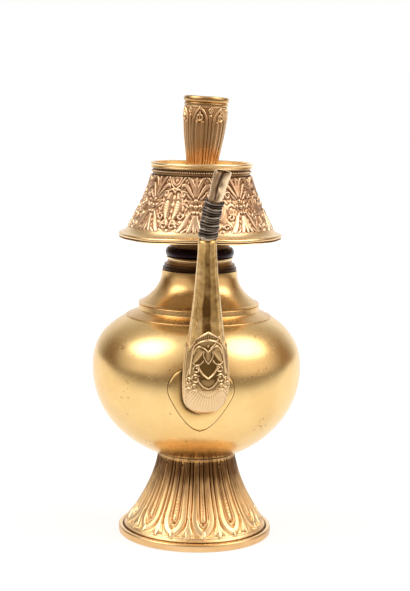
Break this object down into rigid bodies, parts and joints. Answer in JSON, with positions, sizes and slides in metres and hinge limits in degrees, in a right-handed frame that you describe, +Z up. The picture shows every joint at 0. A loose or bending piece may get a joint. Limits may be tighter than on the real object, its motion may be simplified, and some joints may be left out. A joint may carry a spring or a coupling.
{
  "type": "tibetan bumpa vase",
  "caption": "Brass ritual water vase: round body on a lotus foot, forward spout with a wire-bound tip, and an ornamented skirt collar that lifts off with its loose mouth tube.",
  "frame": {"origin": "centre of the foot ring's resting face, on the vessel's axis", "axes": "+Z up along the vessel's axis, -Y the way the spout faces, +X to the right seen from the spout's side"},
  "size_m": [0.1, 0.1335, 0.2109],
  "materials": {
    "polished_brass": "satin, hand polished",
    "chased_brass": "chased relief, dark in the recesses",
    "cast_brass": "turned and rubbed bright",
    "worn_brass": "worn, dull",
    "inner_brass": "dull, unpolished inside",
    "iron_wire": "tarnished drawn wire"
  },
  "bodies": {
    "vessel": {"foot_ring": "polished_brass", "foot_pedestal": "chased_brass", "body_globe": "polished_brass", "shoulder_plate": "polished_brass", "neck_cone": "polished_brass", "neck_ring": "polished_brass", "neck_cove": "polished_brass", "neck_bead": "polished_brass", "neck_throat": "polished_brass", "heart_plate": "polished_brass", "spout_root": "chased_brass", "spout_tube": "worn_brass", "spout_tip": "worn_brass", "binding_wire": "iron_wire"},
    "sleeve": {"collar_sleeve": "inner_brass"},
    "collar": {"collar_hub": "inner_brass", "collar_dish": "inner_brass", "collar_skirt": "chased_brass", "collar_lower_rim": "cast_brass", "collar_pearl_band": "cast_brass", "collar_top_rim": "cast_brass"},
    "mouth": {"mouth_tube": "chased_brass", "mouth_lip": "cast_brass"}
  },
  "joints": [
    {"name": "collar_lift", "type": "slide", "parent": "vessel", "child": "sleeve", "axis": [0, 0, 1], "range_m": [0, 0.045]},
    {"name": "collar_turn", "type": "hinge", "parent": "sleeve", "child": "collar", "pos_m": [0, 0, 0.171], "axis": [0, 0, 1], "continuous": true},
    {"name": "mouth_tube_lift", "type": "slide", "parent": "collar", "child": "mouth", "axis": [0.0506, 0, 0.9987], "range_m": [0, 0.025]}
  ]
}
